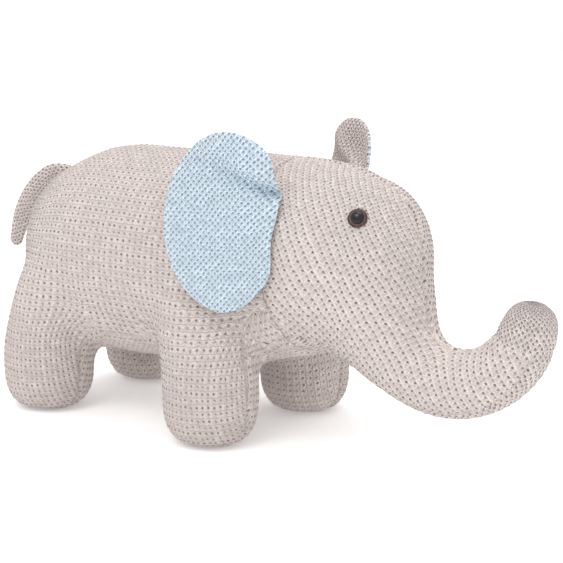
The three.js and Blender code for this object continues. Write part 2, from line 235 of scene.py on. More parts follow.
def soften(mesh, rounds, fill, shrink):
    """Evens the surface out: hollows fill towards their neighbours, crowns hardly sink."""
    co = points_of(mesh)
    edges = np.zeros(len(mesh.edges) * 2, np.int32)
    mesh.edges.foreach_get("vertices", edges)
    edges = edges.reshape(-1, 2)
    count = np.bincount(edges.ravel(), minlength=len(co)).astype(float)[:, None]
    for _ in range(rounds):
        total = np.zeros_like(co)
        for axis in range(3):
            total[:, axis] = np.bincount(edges[:, 0], co[edges[:, 1], axis], len(co)) \
                + np.bincount(edges[:, 1], co[edges[:, 0], axis], len(co))
        step = total / count - co
        set_points(mesh, co)
        normal = normals_of(mesh)
        out = (step * normal).sum(1)[:, None]
        along = step - out * normal
        co = co + 0.5 * along + np.where(out > 0, fill, shrink) * out * normal
    set_points(mesh, co)


# ---------------------------------------------------------------- the knit, as flat coordinates

BARREL = 67.0                       # radius of the torso
# Where the torso's ends begin to close, the height of their middles and their radii.
RUMP = dict(x=-74, z=101, radius=57, flatter=0.8)
CHEST = dict(x=84, z=108, radius=60)
SOLE_HUB = 12       # the sole's rows are not gathered closer than this
SOLE_BEND = 26      # radius of the cloth's bend from the leg's side to its sole
ACROSS_TO_SOLE = 78     # from the belly's middle along the cloth to the middle of a sole
SMALL = 1e-6


def panel_half(x):
    """Half width of the strip under the head and trunk."""
    return np.interp(x, [p[0] for p in CHIN], [p[1] for p in CHIN])


def torso_flat(p):
    """Side panel coordinates: along the body and up the side, over the back and round the rump."""
    x, y, z = p.T
    inside = np.maximum(x, RUMP["x"])
    middle = np.interp(inside, [s[0] for s in TORSO], [s[1] for s in TORSO])
    behind = np.maximum(0, RUMP["x"] - x) * RUMP["radius"] / TORSO_ENDS[0]
    rise = z - middle
    angle = np.arctan2(np.hypot(behind, rise), np.abs(y) + SMALL)
    reach = np.hypot(behind, rise) + SMALL
    s = inside - BARREL * RUMP["flatter"] * angle * behind / reach
    t = middle + BARREL * angle * rise / reach
    return s, t


def leg_flat(p, inner):
    """A leg's coordinates, round it and up it, for its inner or outer half, and the distance from
    its middle line."""
    x, y, z = p.T
    above = np.maximum(0, z - LEAN_FROM)
    lx = np.where(x > 0, LEG_X, -LEG_X)
    lx = lx - np.sign(lx) * LEAN_X * above
    dy = (LEG_Y - LEAN_Y * above) - np.abs(y)
    dy = dy if inner else -dy
    rho = np.hypot(x - lx, dy)
    turn = np.arctan2(x - lx, dy)
    s = lx + np.maximum(rho, SOLE_HUB) * turn
    low = np.clip((SOLE_CURVE - z) / SOLE_CURVE, 0, 1)
    curl = np.where(z < SOLE_CURVE, SOLE_BEND * np.arcsin(low), 0)
    t = np.maximum(z, SOLE_CURVE) - curl - np.where(rho < SOLE_R, SOLE_R - rho, 0)
    return s, t, rho


def side_flat(p):
    """Side panel coordinates: the torso's, turning into the leg's low down and close to a leg."""
    s0, t0 = torso_flat(p)
    s1, t1, rho = leg_flat(p, False)
    share = smoothstep(90, 52, p[:, 2]) * smoothstep(50, 32, rho)
    return np.stack([s0 + (s1 - s0) * share, t0 + (t1 - t0) * share], 1)


def belly_flat(p):
    """Belly panel coordinates: across the belly and down the legs' inner halves, and along it."""
    x, y, z = p.T
    ahead = CHEST["radius"] * np.arctan2(np.maximum(x - CHEST["x"], 0),
                                         np.maximum(CHEST["z"] - z, 1))
    behind = RUMP["radius"] * np.arctan2(np.maximum(RUMP["x"] - x, 0), np.maximum(RUMP["z"] - z, 1))
    across = BARREL * np.arcsin(np.clip(np.abs(y) / BARREL, 0, 1))
    s1, t1, rho = leg_flat(p, True)
    share = smoothstep(76, 50, z) * smoothstep(44, 30, rho)
    across = across + (ACROSS_TO_SOLE - t1 - across) * share
    along = np.clip(x, RUMP["x"], CHEST["x"]) + ahead - behind
    along = along + (s1 - along) * share
    return np.stack([across * np.sign(y), along], 1)


def ease(mesh, flat, inside, held, rounds=260, step=1.3):
    """Lets the flat coordinates move until every edge inside is near its true length, as cloth
    that is laid flat does. The held points stay near their places; a step over 1 gets there
    sooner."""
    co = points_of(mesh)
    quads = quads_of(mesh)
    pairs = [quads[:, [0, 1]], quads[:, [1, 2]], quads[:, [2, 3]], quads[:, [3, 0]],
             quads[:, [0, 2]], quads[:, [1, 3]]]
    pairs = np.concatenate(pairs)
    pairs = pairs[inside[pairs[:, 0]] & inside[pairs[:, 1]]]
    true = np.linalg.norm(co[pairs[:, 0]] - co[pairs[:, 1]], axis=1)
    count = np.maximum(np.bincount(pairs.ravel(), minlength=len(co)), 1)
    place = flat.copy()
    for _ in range(rounds):
        d = place[pairs[:, 1]] - place[pairs[:, 0]]
        length = np.linalg.norm(d, axis=1) + SMALL
        move = d * (0.5 * (length - true) / length)[:, None]
        for axis in range(2):
            total = np.bincount(pairs[:, 0], move[:, axis], len(co)) \
                - np.bincount(pairs[:, 1], move[:, axis], len(co))
            place[:, axis] += step * total / count
        place += (flat - place) * held[:, None]
    return place


def closer_round_legs(side, x, z, closer=0.35, reach=42):
    """Stitches stand closer together round the legs, and as before between them."""
    from_leg = side[:, 0] - np.where(x > 0, LEG_X, -LEG_X)
    close = closer * smoothstep(74, 46, z)
    towards_belly = np.where(from_leg * x < 0, smoothstep(66, reach, np.abs(from_leg)), 1)
    side[:, 0] += np.clip(from_leg, -reach, reach) * close * towards_belly


def lay_flat(mesh):
    """Stores each panel's flat coordinates on the points of the coarse body."""
    co = points_of(mesh)
    x, y, z = co.T
    half, top, rear = GUSSET["half"], GUSSET["top"], GUSSET["rear"]
    # each panel is laid with a margin past its seams
    outer = ((np.abs(y) > half - 6.5) | (z > top - 7) | (x < rear + 7)) & (x < 130)
    inner = (np.abs(y) < half + 6.5) & (z < top + 6) & (x > rear - 8) & (x < 126)
    loose = 0.0005
    back_held = 0.12 * smoothstep(90, 110, z) + loose
    middle_held = 0.06 * smoothstep(30, 10, np.abs(y)) + loose
    side = ease(mesh, side_flat(co), outer, back_held)
    belly = ease(mesh, belly_flat(co), inner & (y != 0), middle_held)
    closer_round_legs(side, x, z)
    for name, flat in (("side", side), ("belly", belly)):
        for i, axis in enumerate("st"):
            layer = mesh.attributes.new(f"{name}_{axis}", "FLOAT", "POINT")
            layer.data.foreach_set("value", flat[:, i].astype(np.float32))


def laid(mesh, name):
    """The flat coordinates that lay_flat stored, on the finer surface."""
    found = []
    for axis in "st":
        value = np.zeros(len(mesh.vertices), np.float32)
        mesh.attributes[f"{name}_{axis}"].data.foreach_get("value", value)
        found.append(value.astype(float))
    return found


class Along:
    """Nearest point on the head and trunk's spine for each point, in the middle plane."""

    def __init__(self, p, samples=400):
        line = spline(SPINE, samples)
        way = np.gradient(line, axis=0)
        step = np.linalg.norm(way, axis=1)
        way /= step[:, None]
        far = np.concatenate([[0], np.cumsum(np.linalg.norm(np.diff(line, axis=0), axis=1))])
        best = np.full(len(p), np.inf)
        pick = np.zeros(len(p), int)
        for i in range(0, len(line), 2):
            d = (p[:, 0] - line[i, 0]) ** 2 + (p[:, 2] - line[i, 1]) ** 2
            closer = d < best
            best[closer] = d[closer]
            pick[closer] = i
        at, way = line[pick], way[pick]
        off = p[:, [0, 2]] - at
        self.ahead = (off * way).sum(1)
        self.rise = -off[:, 0] * way[:, 1] + off[:, 1] * way[:, 0]
        self.far = far[pick] + self.ahead
        self.at = at + way * np.clip(self.ahead, -2, 2)[:, None]
        self.way = way


def head_flat(p, along):
    """Side panel coordinates. The flat panel has the trunk's bends cut in it, so that its rows
    stay level."""
    y = np.abs(p[:, 1]) + SMALL
    radius = np.hypot(y, along.rise)
    turn = np.arctan2(along.rise, y)
    reach = radius * turn
    s = along.at[:, 0] - along.way[:, 1] * reach
    t = along.at[:, 1] + along.way[:, 0] * reach
    return s, t


def strip_flat(p, along):
    """Chin strip coordinates: along the spine and across the strip."""
    radius = np.hypot(p[:, 1], along.rise)
    return along.far, radius * np.arctan2(p[:, 1], -along.rise)


SIDE_RIGHT, SIDE_LEFT, BELLY, HEAD_SIDE, CHIN_STRIP, TIP_CAP = range(6)
NO_SEAM = 99        # a distance that no seam's groove reaches


class Panels:
    """Which panel a point is on, and its distance from the nearest seam."""

    def __init__(self, p):
        x, y, z = p.T
        self.y = y
        self.along = Along(p)
        self.neck = x - (NECK["x"] + NECK["slope"] * (NECK["z"] - z))
        self.box = np.maximum(np.maximum(np.abs(y) - GUSSET["half"], z - GUSSET["top"]),
                              GUSSET["rear"] - x)
        tip = (x - TIP["at"][0]) * TIP["along"][0] + (z - TIP["at"][1]) * TIP["along"][1]
        self.tip = np.where(x > TIP["begins"], tip, -NO_SEAM)
        self.strip = np.where(self.along.rise < 0, np.abs(y) - panel_half(x), NO_SEAM)

    def names(self):
        torso = np.where(self.box < 0, BELLY, np.where(self.y < 0, SIDE_RIGHT, SIDE_LEFT))
        head = np.where(self.tip > 0, TIP_CAP, np.where(self.strip < 0, CHIN_STRIP, HEAD_SIDE))
        return np.where(self.neck > 0, head, torso)

    def seam(self):
        middle_torso = np.where(self.box < 0, NO_SEAM, np.abs(self.y))
        torso = np.minimum(np.abs(self.box), middle_torso)
        middle_head = np.where(self.strip < 0, NO_SEAM, np.abs(self.y))
        head = np.minimum(np.minimum(np.abs(self.strip), middle_head), np.abs(self.tip))
        head = np.where(self.tip > 0, np.abs(self.tip), head)
        return np.minimum(np.where(self.neck > 0, head, torso), np.abs(self.neck))


# Lattice of the knit's holes: spacing along a row, row height, shift from row to row, how much
# fainter every other row is, how strong the line between rows is, yarns in a row.
MOSS = dict(column=4.6, row=4.2, slant=0.0, faint=0.2, line=1.0, ply=2.0)
RICE = dict(column=5.1, row=2.75, slant=-1.35, faint=0.35, line=0.0, ply=1.0)
SEED = dict(column=3.4, row=1.95, slant=1.7, faint=0.1, line=0.0, ply=1.0)
# The knit and the height of its crowns on each panel.
PANEL_KNITS = {SIDE_RIGHT: (MOSS, 0.36), SIDE_LEFT: (MOSS, 0.36), BELLY: (MOSS, 0.36),
               HEAD_SIDE: (RICE, 0.3), CHIN_STRIP: (MOSS, 0.3), TIP_CAP: (SEED, 0.25)}
# A seam's groove with the fuller cloth beside it; the knit closes up at the seam, and the
# tip's seam is pulled less than the others.
GROOVE = dict(depth=1.3, width=1.1)
BESIDE = dict(height=0.35, away=4.5, width=2.6)
CLOSED_WIDTH = 1.6
TIP_PULL = 0.3
MM_PER_UV = 100.0


def relief(s, t, knit):
    """Height of the knit over its lattice: crowns between the holes, from -1 to 1."""
    u = s / knit["column"] - t / knit["row"] * knit["slant"] / knit["column"]
    v = t / knit["row"]
    return 0.5 * (np.cos(2 * math.pi * u) + np.cos(2 * math.pi * v))


def split_piece(name, mesh, co, quads, keep, flat):
    """The quads in keep as a mesh of their own, with their corners' flat coordinates as a UV map
    and the free edges turned in under the seam."""
    mine = quads[keep]
    used, local = np.unique(mine, return_inverse=True)
    local = local.reshape(-1, 4)
    normal = normals_of(mesh)[used]
    verts = co[used]
    raw = np.concatenate([local[:, [i, (i + 1) % 4]] for i in range(4)])
    edges = np.sort(raw, axis=1)
    key = edges[:, 0].astype(np.int64) * len(used) + edges[:, 1]
    _, index, counts = np.unique(key, return_index=True, return_counts=True)
    rim = raw[index[counts == 1]]
    rim_verts = np.unique(rim)
    under = {v: len(used) + i for i, v in enumerate(rim_verts)}
    verts = np.concatenate([verts, verts[rim_verts] - normal[rim_verts] * SKIN])
    lips = np.array([[b, a, under[a], under[b]] for a, b in rim], int).reshape(-1, 4)
    faces = np.concatenate([local, lips])
    s, t = flat
    corner = np.stack([s[used], t[used]], 1)
    # the turned-in edge shows the knit a millimetre further on
    corner = np.concatenate([corner, corner[rim_verts] + 1.0])
    placed = (verts + [AHEAD, 0, 0]) * MM
    made = new_mesh(name, [], [])
    made.vertices.add(len(placed))
    made.vertices.foreach_set("co", placed.astype(np.float32).ravel())
    made.loops.add(faces.size)
    made.loops.foreach_set("vertex_index", faces.astype(np.int32).ravel())
    made.polygons.add(len(faces))
    made.polygons.foreach_set("loop_start", np.arange(0, faces.size, 4, dtype=np.int32))
    made.polygons.foreach_set("use_smooth", np.ones(len(faces), bool))
    made.update(calc_edges=True)
    layer = made.uv_layers.new(name="stitch")
    layer.data.foreach_set("uv", (corner[faces.ravel()] / MM_PER_UV).astype(np.float32).ravel())
    return new_object(name, made)


def panel_flats(mesh, co, along):
    """Each panel's flat coordinates at every point."""
    side = laid(mesh, "side")
    round_tip = np.arctan2(co[:, 1], -along.rise) * TIP["radius"]
    over_tip = np.maximum(0, TIP["radius"] - np.hypot(co[:, 1], along.rise))
    return {SIDE_RIGHT: side, SIDE_LEFT: side, BELLY: laid(mesh, "belly"),
            HEAD_SIDE: head_flat(co, along), CHIN_STRIP: strip_flat(co, along),
            TIP_CAP: (round_tip, along.far + over_tip)}


def stitched_height(panels, flats):
    """How far the stitches and the seams stand off the stuffed shape."""
    seam = panels.seam()
    name = panels.names()
    height = np.zeros(len(seam))
    for which, (knit, crown) in PANEL_KNITS.items():
        mine = name == which
        s, t = flats[which]
        height[mine] = relief(s[mine], t[mine], knit) * crown
    height *= 1 - np.exp(-(seam / CLOSED_WIDTH) ** 2)
    pull = TIP_PULL + (1 - TIP_PULL) * smoothstep(2, 7, np.abs(panels.tip))
    height -= pull * GROOVE["depth"] * np.exp(-(seam / GROOVE["width"]) ** 2)
    height += pull * BESIDE["height"] * np.exp(-((seam - BESIDE["away"]) / BESIDE["width"]) ** 2)
    return height


def head_cover(mesh, co, quads, kind, flats):
    """The head and trunk's cover in one mesh. The strip and the tip have their own directions of
    the knit and the second material."""
    ahead = kind >= HEAD_SIDE
    cover = split_piece("head_and_trunk_cover", mesh, co, quads, ahead, flats[HEAD_SIDE])
    layer = cover.data.uv_layers["stitch"]
    uv = np.zeros(len(layer.data) * 2, np.float32)
    layer.data.foreach_get("uv", uv)
    uv = uv.reshape(-1, 4, 2)
    mine, kind = quads[ahead], kind[ahead]
    for which in (CHIN_STRIP, TIP_CAP):
        rows = np.where(kind == which)[0]
        for axis in range(2):
            uv[rows, :, axis] = flats[which][axis][mine[rows]] / MM_PER_UV
    layer.data.foreach_set("uv", uv.ravel())
    slot = np.zeros(len(uv), np.int32)
    slot[:len(kind)] = kind != HEAD_SIDE
    cover.data.polygons.foreach_set("material_index", slot)
    return cover


def clothe(body):
    """Cuts the body's surface into its knit panels, with stitches and seams in the surface."""
    mesh = body.data
    co = points_of(mesh)
    quads = quads_of(mesh)
    panels = Panels(co)
    flats = panel_flats(mesh, co, panels.along)
    co = co + normals_of(mesh) * stitched_height(panels, flats)[:, None]
    floor_z = 0
    co[:, 2] = np.maximum(co[:, 2], floor_z)
    set_points(mesh, co)
    kind = Panels(co[quads].mean(1)).names()
    made = {}
    for label, which in (("torso_panel_right", SIDE_RIGHT), ("torso_panel_left", SIDE_LEFT),
                         ("belly_panel", BELLY)):
        made[label] = split_piece(label, mesh, co, quads, kind == which, flats[which])
    made["head_and_trunk_cover"] = head_cover(mesh, co, quads, kind, flats)
    return made


# ---------------------------------------------------------------- materials


class Nodes:
    """A new material and short ways to fill its node tree."""

    def __init__(self, name):
        self.material = bpy.data.materials.new(name)
        self.material.use_nodes = True
        self.tree = self.material.node_tree
        self.tree.nodes.clear()

    def node(self, kind, **values):
        made = self.tree.nodes.new(kind)
        for key, value in values.items():
            setattr(made, key, value)
        return made

    def link(self, source, target):
        self.tree.links.new(source, target)

    def put(self, socket, value):
        if isinstance(value, bpy.types.NodeSocket):
            self.link(value, socket)
        else:
            socket.default_value = value

    def math(self, operation, *values, clamp=False):
        made = self.node("ShaderNodeMath", operation=operation, use_clamp=clamp)
        for socket, value in zip(made.inputs, values):
            self.put(socket, value)
        return made.outputs[0]

    def add(self, a, b):
        return self.math("ADD", a, b)

    def minus(self, a, b):
        return self.math("SUBTRACT", a, b)

    def times(self, a, b):
        return self.math("MULTIPLY", a, b)

    def ramp(self, value, low, high, to_low=0.0, to_high=1.0):
        made = self.node("ShaderNodeMapRange", interpolation_type="SMOOTHSTEP")
        self.put(made.inputs[0], value)
        for i, number in enumerate((low, high, to_low, to_high), 1):
            made.inputs[i].default_value = number
        return made.outputs[0]

    def mix(self, share, a, b, blend="MIX"):
        made = self.node("ShaderNodeMix", data_type="RGBA", blend_type=blend)
        self.put(made.inputs[0], share)
        self.put(made.inputs[6], a)
        self.put(made.inputs[7], b)
        return made.outputs[2]

    def noise(self, vector, scale, detail=2.0, rough=0.5):
        made = self.node("ShaderNodeTexNoise")
        self.link(vector, made.inputs["Vector"])
        made.inputs["Scale"].default_value = scale
        made.inputs["Detail"].default_value = detail
        made.inputs["Roughness"].default_value = rough
        return made.outputs["Fac"]


def rgb(r, g, b):
    """sRGB bytes as a linear colour."""
    def one(v):
        v /= 255
        return v / 12.92 if v <= 0.04045 else ((v + 0.055) / 1.055) ** 2.4
    return (one(r), one(g), one(b), 1.0)


def cell_chance(n, column, row):
    """A random number for each cell of the lattice, and a random shift right and up."""
    cell = n.node("ShaderNodeCombineXYZ")
    n.link(column, cell.inputs[0])
    n.link(row, cell.inputs[1])
    chance = n.node("ShaderNodeTexWhiteNoise", noise_dimensions="3D")
    n.link(cell.outputs[0], chance.inputs["Vector"])
    drift = n.node("ShaderNodeSeparateXYZ")
    n.link(chance.outputs["Color"], drift.inputs[0])
    right = n.times(n.minus(drift.outputs[0], 0.5), 0.7)
    up = n.times(n.minus(drift.outputs[1], 0.5), 0.6)
    return chance.outputs["Value"], right, up


def knit_hole(n, knit, across, up, row, luck):
    """1 in the middle of a hole, 0 outside; the holes are slanted and differ in strength."""
    slanted = n.add(across, n.times(up, 0.35))
    far = n.math("SQRT", n.add(n.times(slanted, slanted), n.times(up, up)))
    hole = n.ramp(far, 0.25, knit["row"] * 0.12 + 0.62, 1.0, 0.0)
    odd = n.math("MODULO", n.math("ABSOLUTE", row), 2.0)
    strength = n.minus(1.0, n.times(odd, knit["faint"]))
    return n.times(hole, n.times(strength, n.ramp(luck, 0.0, 1.0, 0.66, 1.0)))


def bumped(n, surface, height, strength, distance):
    """Ends the material: the surface with this height as a bump, in metres."""
    bump = n.node("ShaderNodeBump")
    bump.inputs["Strength"].default_value = strength
    bump.inputs["Distance"].default_value = distance
    n.link(height, bump.inputs["Height"])
    n.link(bump.outputs[0], surface.inputs["Normal"])
    out = n.node("ShaderNodeOutputMaterial")
    n.link(surface.outputs[0], out.inputs[0])
    return n.material


def knit_material(name, light, dark, knit, depth=0.8):
    """Cotton yarn in a hole lattice: crowns between holes with painted shade, plies of the yarn,
    loose fibres.
    """
    n = Nodes(name)
    uv = n.node("ShaderNodeUVMap", uv_map="stitch").outputs[0]
    parts = n.node("ShaderNodeSeparateXYZ")
    n.link(uv, parts.inputs[0])
    wander = n.noise(uv, 9.0, 1.0)
    s = n.add(n.times(parts.outputs[0], MM_PER_UV), n.times(wander, 1.6))
    t = n.add(n.times(parts.outputs[1], MM_PER_UV), n.times(wander, 1.1))

    # place in the lattice: which row and column, and fx, fy from the middle of the cell
    rows = n.math("DIVIDE", t, knit["row"])
    row = n.math("FLOOR", rows)
    shift = n.times(n.add(row, 0.5), knit["slant"] / knit["column"])
    columns = n.minus(n.math("DIVIDE", s, knit["column"]), shift)
    fx = n.minus(n.math("FRACT", columns), 0.5)
    fy = n.minus(n.math("FRACT", rows), 0.5)

    luck, right, up = cell_chance(n, n.math("FLOOR", columns), row)
    across = n.add(n.times(fx, knit["column"]), right)
    up = n.add(n.times(fy, knit["row"]), up)
    hole = knit_hole(n, knit, across, up, row, luck)
    between = n.times(n.ramp(n.math("ABSOLUTE", fy), 0.40, 0.5), 0.5 * knit["line"])

    # each stitch is a pair of yarns leaning together, seen as a chevron between the holes
    slope = n.add(n.times(rows, knit["ply"]), n.times(n.math("ABSOLUTE", fx), 2.0))
    yarn = n.math("COSINE", n.times(slope, 2 * math.pi))
    twist = n.math("SINE", n.add(n.times(s, 5.5), n.times(t, 7.5)))
    fuzz = n.noise(uv, 150.0, 3.0, 0.75)
    crown = n.add(n.math("COSINE", n.times(fx, 2 * math.pi)),
                  n.math("COSINE", n.times(fy, 2 * math.pi)))
    height = n.times(hole, -1.3)
    for part, share in ((twist, 0.12), (crown, -0.25), (yarn, 0.35), (fuzz, 0.5), (between, -1.0)):
        height = n.add(height, n.times(part, share))

    # random tone from noise and luck, and painted shade: the colour is darker where fuzz, plies and
    # twist lie low in the bump
    tone_and_groove_shade = n.ramp(n.noise(uv, 20.0, 3.0, 0.6), 0.3, 0.7, 0.95, 1.04)
    for part, low, high, dim, bright in ((fuzz, 0.3, 0.7, 0.82, 1.14), (luck, 0.0, 1.0, 0.94, 1.05),
                                         (yarn, -1.0, 1.0, 0.88, 1.06),
                                         (twist, -1.0, 1.0, 0.95, 1.04)):
        tone_and_groove_shade = n.times(tone_and_groove_shade, n.ramp(part, low, high, dim, bright))
    shade = n.node("ShaderNodeCombineXYZ")
    for i in range(3):
        n.link(tone_and_groove_shade, shade.inputs[i])
    lit = n.mix(1.0, light, shade.outputs[0], "MULTIPLY")
    # painted shade: the colour goes towards the dark colour in the holes, by depth, and in the
    # lines between rows
    dim = n.math("ADD", n.times(hole, depth), n.times(between, 0.6), clamp=True)

    surface = n.node("ShaderNodeBsdfPrincipled")
    n.link(n.mix(dim, lit, dark), surface.inputs["Base Color"])
    n.link(n.ramp(hole, 0.0, 1.0, 0.86, 0.97), surface.inputs["Roughness"])
    surface.inputs["Specular IOR Level"].default_value = 0.15
    surface.inputs["Sheen Weight"].default_value = 0.08
    surface.inputs["Sheen Roughness"].default_value = 0.6
    return bumped(n, surface, height, 1.0, 0.0008)


def plastic_material(name, base, edge, rough):
    """Moulded plastic: faint swirl in the colour, fine handling marks in the gloss."""
    n = Nodes(name)
    where = n.node("ShaderNodeTexCoord")
    swirl = n.noise(where.outputs["Object"], 420.0, 3.0, 0.6)
    marks = n.noise(where.outputs["Object"], 1500.0, 2.0, 0.5)
    surface = n.node("ShaderNodeBsdfPrincipled")
    n.link(n.mix(n.ramp(swirl, 0.35, 0.65), base, edge), surface.inputs["Base Color"])
    n.link(n.ramp(marks, 0.3, 0.7, rough * 0.8, rough * 1.25), surface.inputs["Roughness"])
    surface.inputs["Specular IOR Level"].default_value = 0.42
    return bumped(n, surface, marks, 0.08, 0.0001)


# BEIGE and BLUE are the yarns' colours; the two dark colours are painted shade for the knit's holes
BEIGE = rgb(229, 217, 212)
BEIGE_HOLE_SHADE = rgb(86, 64, 57)
BLUE = rgb(222, 239, 252)
BLUE_HOLE_SHADE = rgb(96, 118, 134)
knit_torso = knit_material("knit_torso", BEIGE, BEIGE_HOLE_SHADE, MOSS)
knit_head = knit_material("knit_head", BEIGE, BEIGE_HOLE_SHADE, RICE)
knit_small = knit_material("knit_small", BEIGE, BEIGE_HOLE_SHADE, SEED, 0.7)
knit_blue = knit_material("knit_blue", BLUE, BLUE_HOLE_SHADE, SEED, 0.7)

# ---------------------------------------------------------------- body

body = whole_body()
soften(body.data, rounds=26, fill=0.75, shrink=0.12)
lay_flat(body.data)
levels = body.modifiers.new("finer", "SUBSURF")
levels.levels = levels.render_levels = 2
apply_modifiers(body)
covers = clothe(body)
bpy.data.objects.remove(body)

for name, nodes in (("torso_panel_right", ["torso_side_right", "leg_stuffing_front_right",
                                           "leg_stuffing_rear_right"]),
                    ("torso_panel_left", ["torso_side_left", "leg_stuffing_front_left",
                                          "leg_stuffing_rear_left"]),
                    ("belly_panel", ["belly_gusset", "torso_stuffing"])):
    cover = covers[name]
    cover.data.materials.append(knit_torso)
    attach(cover, "body")
    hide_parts(*nodes)

cover = covers["head_and_trunk_cover"]
cover.data.materials.append(knit_head)
cover.data.materials.append(knit_small)
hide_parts("head_side_right", "head_side_left", "chin_gusset", "trunk_side_right",
            "trunk_side_left", "trunk_gusset", "trunk_tip_cap", "head_stuffing", "trunk_stuffing")
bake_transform(cover)

# ---------------------------------------------------------------- ears

# The ear's plane: x and y of its front edge and its angle from the body. Its outline goes from the
# front lower corner round the rear edge to the front: distance behind the seam, height.
EAR = dict(x=117.0, y=52.5, open=24.0)
EAR_OUTLINE = [(0, 106), (6.7, 96), (14.8, 88.7), (28.3, 85), (42, 91), (52, 102), (59.5, 122),
               (60.5, 139.6), (58, 155), (52, 169), (41, 182.5), (25, 188.6), (12, 185.5), (3, 177),
               (0.5, 163), (-1.5, 150), (-0.5, 128)]
EAR_CENTRE = (27.0, 137.0)
# The crease, from its shallow end at the rear to the front edge.
VALLEY = [(45, 178), (35, 172), (20, 163), (-1, 152)]
EAR_REAR, EAR_TALL = 33, 52     # from the ear's middle to its rear edge, and to its top
CURL, LIFT = 4.0, 2.5           # how far the rear edge, and the top and bottom, stand out
LOBE = (9, 170)                 # middle of the lobe that folds over the crease
TUCK = 7                        # how far the front edge leans in to the neck
EAR_EDGE, EAR_PUFF = 0.5, 1.9   # half of the thickness at the edge, and what the padding adds
EAR_CROWN = 0.26                # height of the knit's crowns


def ear_edge(angles):
    """Distance from the ear's middle to its edge, by direction."""
    points = np.array(EAR_OUTLINE, float) - EAR_CENTRE
    closed = spline(np.concatenate([points[-3:], points, points[:3]]), 1200)
    turn = np.arctan2(closed[:, 1], closed[:, 0])
    reach = np.hypot(closed[:, 0], closed[:, 1])
    order = np.argsort(turn)
    return np.interp(angles, turn[order], reach[order], period=2 * math.pi)


def line_distance(u, z, line):
    """Distance to a polyline and how far along it, from 0 to 1."""
    best = np.full(u.shape, np.inf)
    share = np.zeros(u.shape)
    count = len(line) - 1
    for i in range(count):
        a, b = np.array(line[i], float), np.array(line[i + 1], float)
        d = b - a
        k = np.clip(((u - a[0]) * d[0] + (z - a[1]) * d[1]) / (d @ d), 0, 1)
        off = np.hypot(u - a[0] - k * d[0], z - a[1] - k * d[1])
        closer = off < best
        best = np.where(closer, off, best)
        share = np.where(closer, (i + k) / count, share)
    return best, share


def ear_surface(u, z, near):
    """How far the ear's middle surface stands off its flat plane."""
    behind = np.maximum(0, (u - EAR_CENTRE[0]) / EAR_REAR)
    off = CURL * behind ** 2 + LIFT * ((z - EAR_CENTRE[1]) / EAR_TALL) ** 2
    # the crease narrows and deepens towards the front edge
    away, share = line_distance(u, z, VALLEY)
    width = 7.2 - 4.2 * share
    deep = (2.5 + 8.5 * share ** 1.5) if near else (1.5 + 5.0 * share)
    off = off - deep * np.exp(-(away / width) ** 2)
    lobe = np.exp(-((u - LOBE[0]) / 13) ** 2 - ((z - LOBE[1]) / 11) ** 2)
    if near:
        return off + 2.6 * lobe
    # the far ear's top leans in at the rear, and its rear edge bends out
    off = off - 3.5 * smoothstep(158, 184, z) * smoothstep(14, 40, u)
    bend = np.logaddexp(0, (u - 31) / 2.5) * 2.5
    return off + 0.3 * bend * smoothstep(146, 196, z) + 1.2 * lobe


def ear_tuck(u, z):
    """The front edge leans in to the body above the seam."""
    front = np.maximum(0, 1 - np.maximum(0, u) / 20) ** 2
    return TUCK * front * (smoothstep(118, 150, z) - 0.3 * smoothstep(165, 186, z))


def wrap_stitches(mesh, places, ends):
    """Stores the flat places of a closed ring mesh's points, and of its two end points, as UVs."""
    uv = np.concatenate([places, ends]) / MM_PER_UV
    loops = np.zeros(len(mesh.loops), np.int32)
    mesh.loops.foreach_get("vertex_index", loops)
    mesh.uv_layers.new(name="stitch").data.foreach_set("uv", uv[loops].astype(np.float32).ravel())
    mesh.polygons.foreach_set("use_smooth", np.ones(len(mesh.polygons), bool))


def make_ear(side, rings=46, segments=200, edge_rings=10):
    """One padded ear: rings of points from the middle of its front out to its edge and back."""
    sign = -1 if side == "right" else 1
    angles = np.linspace(0, 2 * math.pi, segments, endpoint=False)
    edge = ear_edge(angles)
    share = np.concatenate([np.linspace(0.02, 0.9, rings - edge_rings),
                            np.linspace(0.9, 1, edge_rings + 1)[1:]])
    grid_u = EAR_CENTRE[0] + share[:, None] * (edge * np.cos(angles))[None, :]
    grid_z = EAR_CENTRE[1] + share[:, None] * (edge * np.sin(angles))[None, :]
    rim = np.sqrt(np.clip(1 - share ** 7, 0, 1))
    sides = []
    for face in (1, -1):
        knit = relief(grid_u, grid_z, SEED) * EAR_CROWN * smoothstep(1.0, 0.93, share)[:, None]
        closing = EAR_EDGE * smoothstep(0.985, 1, share)[:, None]
        thick = (EAR_EDGE + EAR_PUFF * rim)[:, None] + knit - closing
        sides.append(ear_surface(grid_u, grid_z, sign < 0) + face * thick)
    u = np.concatenate([grid_u, grid_u[::-1]])
    z = np.concatenate([grid_z, grid_z[::-1]])
    off = np.concatenate([sides[0], sides[1][::-1]])
    turn = math.radians(EAR["open"])
    x = EAR["x"] - math.cos(turn) * u + math.sin(turn) * off
    y = sign * (EAR["y"] + math.sin(turn) * u + math.cos(turn) * off - ear_tuck(u, z))
    verts, faces = rings_to_mesh(np.stack([x + AHEAD, y, z], 2) * MM)
    if sign > 0:
        faces = [f[::-1] for f in faces]
    mesh = new_mesh("ear_" + side, verts, faces)
    wrap_stitches(mesh, np.stack([u.ravel(), z.ravel()], 1), [EAR_CENTRE, EAR_CENTRE])
    mesh.materials.append(knit_blue)
    mesh.materials.append(knit_small)
    # beige from the edge over the back; the triangles at both middles take turns in the list
    quads = (2 * rings - 1) * segments
    back = np.zeros(len(mesh.polygons), np.int32)
    back[(rings - 1) * segments:quads] = 1
    back[quads + 1::2] = 1
    mesh.polygons.foreach_set("material_index", back)
    return new_object("ear_cover_" + side, mesh)


for side in ("right", "left"):
    ear = make_ear(side)
    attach(ear, "ear_" + side)
    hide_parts("ear_front_" + side, "ear_back_" + side, "ear_wadding_" + side)

# ---------------------------------------------------------------- tail

